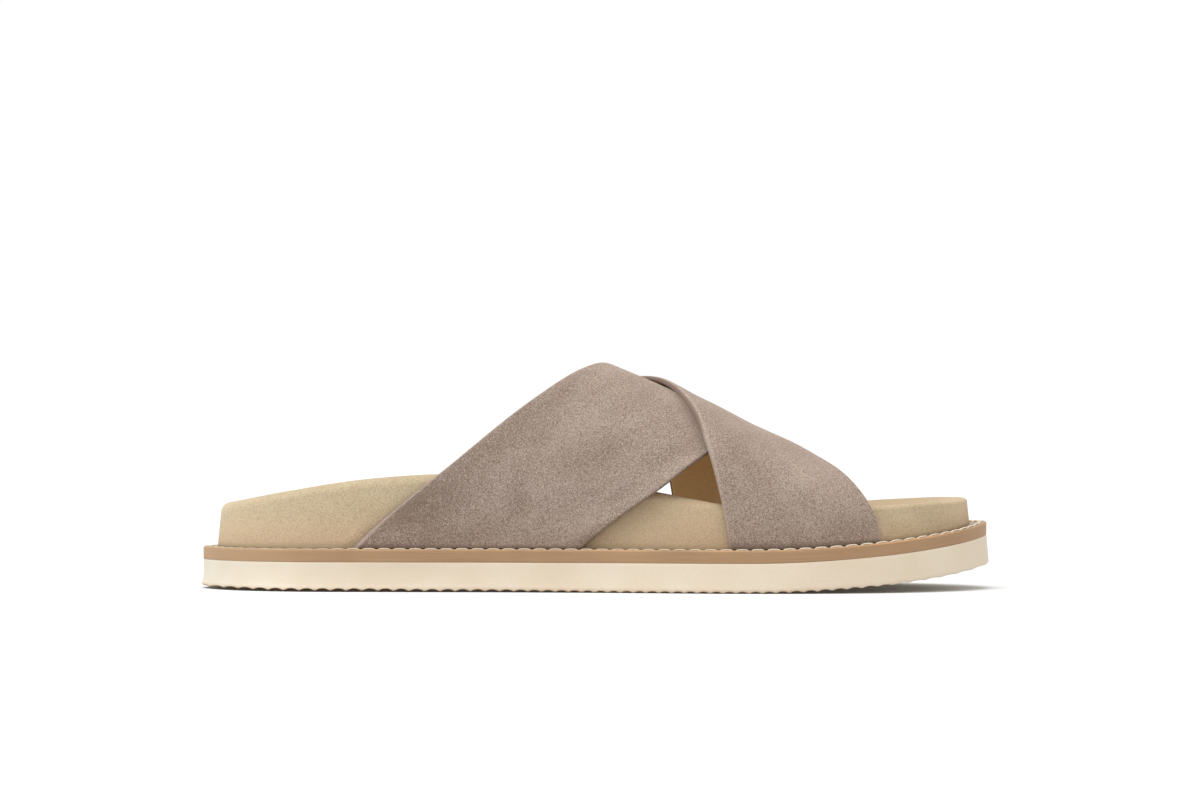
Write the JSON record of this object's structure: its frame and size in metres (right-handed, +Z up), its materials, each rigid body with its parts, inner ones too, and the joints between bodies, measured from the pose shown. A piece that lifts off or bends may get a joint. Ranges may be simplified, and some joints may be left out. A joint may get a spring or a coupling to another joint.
{
  "type": "slide sandal",
  "caption": "Left slide sandal with two crossed suede straps over a contoured footbed, on a stitched welt and a scalloped outsole.",
  "frame": {"origin": "on the ground under the middle of the sole", "axes": "+X towards the toe, -Y towards the big-toe side, +Z up"},
  "size_m": [0.2866, 0.1102, 0.0816],
  "materials": {
    "outsole_foam": "cream moulded foam rubber, satin",
    "welt_leather": "tan leather with a fine grain along the sole, satin",
    "footbed_suede": "sand suede with a short nap, matte",
    "upper_suede": "taupe suede with a short nap, matte"
  },
  "bodies": {
    "root": {"outsole": "outsole_foam", "welt": "welt_leather", "footbed": "footbed_suede", "upper": "upper_suede"}
  },
  "joints": []
}
